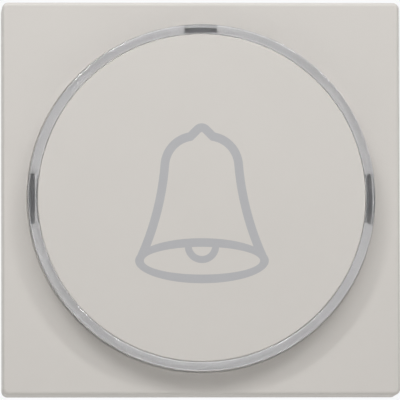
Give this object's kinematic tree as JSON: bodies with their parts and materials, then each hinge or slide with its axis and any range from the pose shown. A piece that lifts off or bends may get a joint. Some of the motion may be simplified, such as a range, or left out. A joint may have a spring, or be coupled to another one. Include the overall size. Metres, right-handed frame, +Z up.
{
  "type": "doorbell push button",
  "caption": "Square flush doorbell push button with a round sprung key, a clear light ring, a bell pictogram and a snap-in insert with lamp board, leaf contact and screw terminals.",
  "frame": {"origin": "centre of the plate's rear rim, on the face of the panel that carries the insert", "axes": "+X to the right as seen from the front, +Z up the wall, +Y into the wall; the key faces -Y"},
  "size_m": [0.045, 0.0267, 0.0446],
  "materials": {
    "plate_plastic": "fine matt moulded texture, light grey",
    "clear_plastic": "clear, polished",
    "symbol_print": "matt grey print",
    "guide_plastic": "natural white, low friction",
    "carrier_plastic": "moulded, mid grey",
    "housing_plastic": "moulded, dark grey",
    "spring_steel": "bright drawn",
    "zinc_steel": "zinc plated",
    "brass": "drawn and cut",
    "bronze": "rolled",
    "contact_silver": "silver alloy",
    "board_laminate": "white solder mask",
    "led_resin": "smoke grey resin",
    "chip_resin": "black moulded",
    "tinned_pin": "tinned"
  },
  "bodies": {
    "insert": {"centre_plate": "plate_plastic", "light_ring": "clear_plastic", "carrier_frame": "carrier_plastic", "insert_housing": "housing_plastic", "return_spring": "spring_steel", "catch_spring_top": "spring_steel", "catch_spring_bottom": "spring_steel", "carrier_screws": "zinc_steel", "terminal_screw_left": "zinc_steel", "terminal_screw_right": "zinc_steel", "terminal_block_left": "brass", "terminal_block_right": "brass", "fixed_contact_strip": "brass", "moving_contact_strip": "brass", "leaf_rivet": "brass", "fixed_contact_tip": "contact_silver", "lamp_board": "board_laminate", "lamp_leds": "led_resin", "lamp_resistor": "chip_resin", "lamp_rectifier": "chip_resin", "lamp_pins": "tinned_pin"},
    "key": {"push_key": "plate_plastic", "bell_symbol": "symbol_print", "key_plunger": "guide_plastic"},
    "leaf": {"contact_leaf": "bronze", "moving_contact_tip": "contact_silver"}
  },
  "joints": [
    {"name": "key_press", "type": "slide", "parent": "insert", "child": "key", "axis": [0, 1, 0], "range_m": [0, 0.0015], "stiffness_N_per_m": 800, "springref_m": -0.002, "deforming": ["return_spring"]},
    {"name": "contact_flex", "type": "hinge", "parent": "insert", "child": "leaf", "pos_m": [0.0076, 0.0073, 0], "axis": [0, 0, -1], "range_deg": [0, 11.2], "deforming": ["contact_leaf"]}
  ],
  "couplings": [
    {"joint": "contact_flex", "follows": "key_press", "rad_per_m": 129.9}
  ]
}
